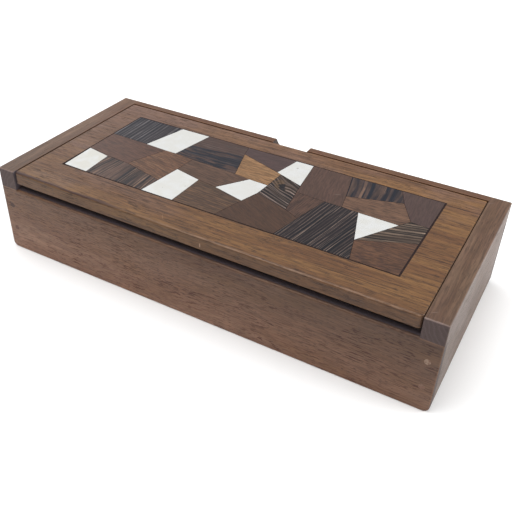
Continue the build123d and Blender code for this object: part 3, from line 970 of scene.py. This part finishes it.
# %% The striped tile finish
def striped_tile(node, number, turn, dark, light, tint, spacing=2.0, thickness=0.45, wobble=1.0,
                 wander=3.0, fan=0.0, bands=0.35, band_width=6.0, second=1.35, knot=None,
                 heart_band=None):
    """A tile of a dark wood with light lines; bands says how much brown lies between them."""
    material, tree, shader, where, grain = tile_start(node, number, turn, wander, fan)
    if knot is not None:
        grain, heart, ring = bend_round_knot(tree, where, grain, knot)
    main = marks(tree, light_lines, grain, Spacing=spacing, Thickness=thickness, Wobble=wobble)
    other = marks(tree, light_lines, grain, Spacing=spacing * second, Thickness=thickness / second,
                  Wobble=wobble * 1.7)
    hair = marks(tree, light_lines, grain, Spacing=spacing * 0.37, Thickness=0.5, Wobble=wobble * 2.0)
    brown = marks(tree, streaks, grain, Length=70.0, Width=band_width, Low=0.42, High=0.6)
    bunch = marks(tree, streaks, grain, Length=60.0, Width=spacing * 2.2, Low=0.4, High=0.58)
    tone = marks(tree, streaks, grain, Length=30.0, Width=spacing * 1.5, Low=0.38, High=0.62)
    fibre = marks(tree, streaks, grain, Length=6.0, Width=0.6, Low=0.3, High=0.7)
    ticks = marks(tree, pores, grain, Length=4.0, Width=0.6, Size=0.3, Share=0.35)
    line = sum_up(tree, "MAXIMUM", main, other)
    line = sum_up(tree, "MULTIPLY", line, sum_up(tree, "MULTIPLY_ADD", bunch, 0.45, 0.55))
    if heart_band is not None:
        brown = sum_up(tree, "SUBTRACT", 1.0, dark_heart(tree, where, grain, heart_band))
        line = sum_up(tree, "MULTIPLY", line, sum_up(tree, "MULTIPLY_ADD", brown, 0.5, 0.5))
    colour = lay(tree, (*dark, 1), brown, bands, (*tint, 1))
    colour = lay(tree, colour, hair, 0.14, (*tint, 1))
    warm = blend_colours(tree, tone, (*light, 1), scaled(light, 0.6))
    colour = blend_colours(tree, line, colour, warm)
    if knot is not None:
        colour = lay(tree, colour, ring, 0.55, (*tint, 1))
        colour = lay(tree, colour, heart, 0.95, (*dark, 1))
    colour = shade(tree, colour, fibre, 0.78, 1.2)
    colour = lay(tree, colour, ticks, 0.5, (0.006, 0.004, 0.005, 1))
    relief = sum_up(tree, "MULTIPLY_ADD", ticks, -1.0, sum_up(tree, "MULTIPLY", line, 0.3))
    tile_finish(tree, shader, where, colour, relief, gloss=1.33)
    dress(node, material)


print("helper: striped_tile")

# %% [markdown]
# ### The seven striped offcuts
# Each call gives the way of the fibres and the dark, light and brown colours of one offcut. Fan
# spreads the lines toward one end. The knot is given by its middle, its size, how far it pushes the
# fibres aside, and how it lies.

# %% Dress the striped tiles
TOP = cad_box[1][2]
KNOT = ((16.0 * MM, 7.6 * MM, TOP), 1.9 * MM, 2.4, 54.0)
HEART_BAND = (20.5 * MM, 5.5 * MM, 0.15)
striped_tile("tile_dark_striped_back_left", 21, 91,
             (0.003, 0.003, 0.008), (0.150, 0.136, 0.142), (0.032, 0.023, 0.026),
             spacing=2.3, thickness=0.38, wobble=0.8, wander=1.2)
striped_tile("tile_dark_striped_front_left", 22, 88,
             (0.005, 0.005, 0.009), (0.175, 0.112, 0.078), (0.070, 0.040, 0.032), spacing=1.7,
             thickness=0.42, wobble=1.8, wander=4.0, fan=0.006, bands=0.85, band_width=4.0)
striped_tile("tile_dark_striped_centre", 23, -27,
             (0.004, 0.003, 0.005), (0.260, 0.190, 0.165), (0.085, 0.048, 0.022), spacing=2.2,
             thickness=0.36, wobble=0.8, wander=2.5, fan=0.012, bands=0.2, knot=KNOT)
striped_tile("tile_dark_striped_front", 24, 79,
             (0.003, 0.003, 0.006), (0.178, 0.128, 0.104), (0.030, 0.017, 0.017), spacing=1.7,
             thickness=0.29, wobble=1.3, wander=2.0, fan=-0.002, bands=0.25, second=1.6)
striped_tile("tile_dark_striped_back_right", 25, 97,
             (0.004, 0.006, 0.013), (0.116, 0.068, 0.048), (0.050, 0.029, 0.024), spacing=3.8,
             thickness=0.58, wobble=2.2, wander=7.0, fan=-0.008, bands=0.3, band_width=3.0,
             second=1.9)
striped_tile("tile_dark_fanned_right", 26, 17,
             (0.006, 0.004, 0.004), (0.255, 0.180, 0.132), (0.058, 0.036, 0.025), spacing=2.2,
             thickness=0.5, wobble=0.8, wander=2.5, fan=0.006, bands=0.45, band_width=4.0)
striped_tile("tile_dark_wavy_back", 27, 2,
             (0.005, 0.007, 0.014), (0.100, 0.076, 0.070), (0.050, 0.028, 0.023), spacing=2.2,
             thickness=0.34, wobble=3.0, wander=8.0, bands=0.95, heart_band=HEART_BAND)
print("striped tiles dressed")

# %% [markdown]
# ### Bone
# The bone is off-white and dense, sanded and polished with the wood. It shows a faint cream mottle,
# very fine streaks where its small canals run, and here and there a grey pit.

# %% Dress the bone tiles
PIT_GREY = (0.200, 0.190, 0.180, 1)
PORE = (14.5 * MM, 29.4 * MM, TOP)


def bone_tile(node, number, turn, cream, dot=None):
    """A tile of polished bone; dot is the place of one grey pore."""
    material, tree, shader, where, grain = tile_start(node, number, turn, 2.0)
    mottle = place(tree, "ShaderNodeTexNoise", {"Vector": grain, "Scale": 0.16, "Detail": 3.0})
    patch = spread(tree, mottle.outputs["Fac"], 0.35, 0.62, 0.0, cream)
    canal = marks(tree, streaks, grain, Length=8.0, Width=0.28, Low=0.55, High=0.8)
    pit = marks(tree, pores, grain, Length=9.0, Width=5.0, Size=0.07, Share=0.3)
    colour = blend_colours(tree, patch, (0.492, 0.496, 0.490, 1), (0.440, 0.424, 0.372, 1))
    colour = lay(tree, colour, canal, 0.16, (0.380, 0.355, 0.305, 1))
    colour = lay(tree, colour, pit, 0.6, PIT_GREY)
    if dot is not None:
        gap = sum_arrows(tree, "DISTANCE", where.outputs["Object"], dot)
        colour = lay(tree, colour, spread(tree, gap, 0.3 * MM, 0.9 * MM, 1.0, 0.0), 0.6, PIT_GREY)
    relief = sum_up(tree, "MULTIPLY", sum_up(tree, "MAXIMUM", canal, pit), -1.0)
    tile_finish(tree, shader, where, colour, relief, depth=0.01 * MM)
    dress(node, material)


BONE_TILES = (
    ("tile_bone_front_left", 50, 80, 0.6, None), ("tile_bone_back_left", 51, 78, 0.3, None),
    ("tile_bone_left_middle", 52, 88, 0.35, None), ("tile_bone_centre", 53, 60, 0.3, None),
    ("tile_bone_back_middle", 54, 95, 0.3, PORE), ("tile_bone_right", 55, 70, 0.35, None),
)
for bone in BONE_TILES:
    bone_tile(*bone)
print("bone tiles dressed:", len(BONE_TILES))

# %% [markdown]
# ### The dark glue
# The tiles lie in a dark glue that fills every joint and the border. It is almost matt and slightly
# uneven, with small lumps, so it needs no more than one fine noise for colour, roughness and bump.

# %% Dress the glue bed
material, tree, shader, where = new_material("dark glue")
lumps = place(
    tree, "ShaderNodeTexNoise", {"Vector": where.outputs["Object"], "Scale": 900.0, "Detail": 3.0})
lump = lumps.outputs["Fac"]
colour = blend_colours(
    tree, spread(tree, lump, 0.35, 0.65), (0.014, 0.009, 0.009, 1), (0.026, 0.017, 0.016, 1))
bump = place(tree, "ShaderNodeBump", {"Height": lump, "Strength": 0.6, "Distance": 0.04 * MM})
fill(tree, shader.inputs["Base Color"], colour)
fill(tree, shader.inputs["Roughness"], spread(tree, lump, 0.3, 0.7, 0.75, 0.95))
fill(tree, shader.inputs["Normal"], bump.outputs[0])
shader.inputs["IOR"].default_value = 1.2
dress("inlay_ground", material)
print("glue dressed")

# %% [markdown]
# ## The hinge pins
# Two bits of drawn steel wire, bright with fine lines along their length. They are hidden while the
# lid is shut, so a simple metal with narrow streaks is enough.

# %% Dress the pins
material, tree, shader, where = new_material("drawn steel wire")
grain = use_group(tree, grain_space, {"Place": where.outputs["Object"], "Wander": 0.1})["Grain"]
drawn = marks(tree, streaks, grain, Length=20.0, Width=0.12, Low=0.3, High=0.7)
colour = blend_colours(tree, drawn, (0.42, 0.41, 0.40, 1), (0.62, 0.61, 0.60, 1))
fill(tree, shader.inputs["Base Color"], colour)
fill(tree, shader.inputs["Roughness"], spread(tree, drawn, 0.0, 1.0, 0.25, 0.4))
shader.inputs["Metallic"].default_value = 1.0
for node in ("hinge_pin_left", "hinge_pin_right"):
    dress(node, material)
print("pins dressed")

# %% [markdown]
# ## The studio
# The box stands on a plain pale floor, wide enough to meet the pale surroundings out of sight. A
# faint cloudiness keeps the floor from looking like flat paint.

# %% The floor
FLOOR_SIZE = 6.0
bpy.ops.mesh.primitive_plane_add(size=FLOOR_SIZE, location=(0, 0, 0))
floor = bpy.context.object
floor.name = "floor"
material, tree, shader, where = new_material("pale floor")
clouds = place(
    tree, "ShaderNodeTexNoise", {"Vector": where.outputs["Object"], "Scale": 3.0, "Detail": 2.0})
cloud = clouds.outputs["Fac"]
colour = blend_colours(tree, cloud, (0.88, 0.88, 0.88, 1), (0.91, 0.91, 0.91, 1))
fill(tree, shader.inputs["Base Color"], colour)
fill(tree, shader.inputs["Roughness"], spread(tree, cloud, 0.0, 1.0, 0.75, 0.85))
shader.inputs["Specular IOR Level"].default_value = 0.2
floor.data.materials.append(material)
print("floor", FLOOR_SIZE, "m across")

# %% [markdown]
# ### The lights
# Three square soft lamps light the box: a large one high above its front left, a low one at the
# right that shapes the end boards and the tiles' sheen, and a weak one behind at the left. A pale
# sky, brighter overhead, fills the shadows.

# %% The lights
def soft_lamp(name, spot, aim, size, power):
    """A square lamp at a spot, turned towards a point."""
    lamp = bpy.data.lights.new(name, "AREA")
    lamp.size = size
    lamp.energy = power
    stand = bpy.data.objects.new(name, lamp)
    bpy.context.scene.collection.objects.link(stand)
    stand.location = spot
    stand.rotation_euler = (Vector(aim) - Vector(spot)).to_track_quat("-Z", "Y").to_euler()


soft_lamp("overhead softbox", spot=(-0.25, -0.20, 1.00), aim=(0, -0.1, 0), size=1.0, power=10.0)
soft_lamp("right softbox", spot=(1.05, 0.40, 0.50), aim=(0.12, 0, 0), size=0.8, power=10.0)
soft_lamp("back left softbox", spot=(-1.10, 0.65, 0.65), aim=(0, 0, 0), size=0.7, power=1.6)
print("lamps:", len(bpy.data.lights))

# %% [markdown]
# The sky is a world of plain white light. Its strength rises from the horizon to the top, as in a
# room with a bright ceiling, so that upright faces stay a little darker than the lid.

# %% The pale sky
SKY_AT_HORIZON, SKY_OVERHEAD = 0.36, 0.75
world = bpy.data.worlds.new("pale room")
world.use_nodes = True
tree = world.node_tree
sky = place(tree, "ShaderNodeTexCoord")
height = split(tree, sky.outputs["Generated"])[2]
glow = spread(tree, height, 0.0, 0.8, SKY_AT_HORIZON, SKY_OVERHEAD)
fill(tree, tree.nodes["Background"].inputs[0], (1.0, 1.0, 1.0, 1))
fill(tree, tree.nodes["Background"].inputs[1], glow)
bpy.context.scene.world = world
bpy.context.scene.view_settings.view_transform = "Standard"
print("sky from", SKY_AT_HORIZON, "to", SKY_OVERHEAD)

# %% [markdown]
# ## The camera
# A camera looks down on the box from the front right, a little rolled, as if held by hand.

# %% The camera
CAMERA_SPOT = Vector((0.15335, -0.27958, 0.23622))
CAMERA_AIM = Vector((0.01107, -0.02418, 0.02616))
CAMERA_ROLL = 1.41
LENS = 48.6
SENSOR = 36.0
SHIFT_RIGHT, SHIFT_UP = 0.0254, -0.0078
lens = bpy.data.cameras.new("hand camera")
lens.lens = LENS
lens.sensor_width = SENSOR
lens.clip_start = 10 * MM
lens.shift_x = SHIFT_RIGHT
lens.shift_y = SHIFT_UP
camera = bpy.data.objects.new("hand camera", lens)
bpy.context.scene.collection.objects.link(camera)
facing = (CAMERA_AIM - CAMERA_SPOT).to_track_quat("-Z", "Y").to_matrix().to_4x4()
roll = Matrix.Rotation(math.radians(CAMERA_ROLL), 4, "Z")
camera.matrix_world = Matrix.Translation(CAMERA_SPOT) @ facing @ roll
bpy.context.scene.camera = camera
print("camera", round((CAMERA_AIM - CAMERA_SPOT).length, 3), "m from its aim")
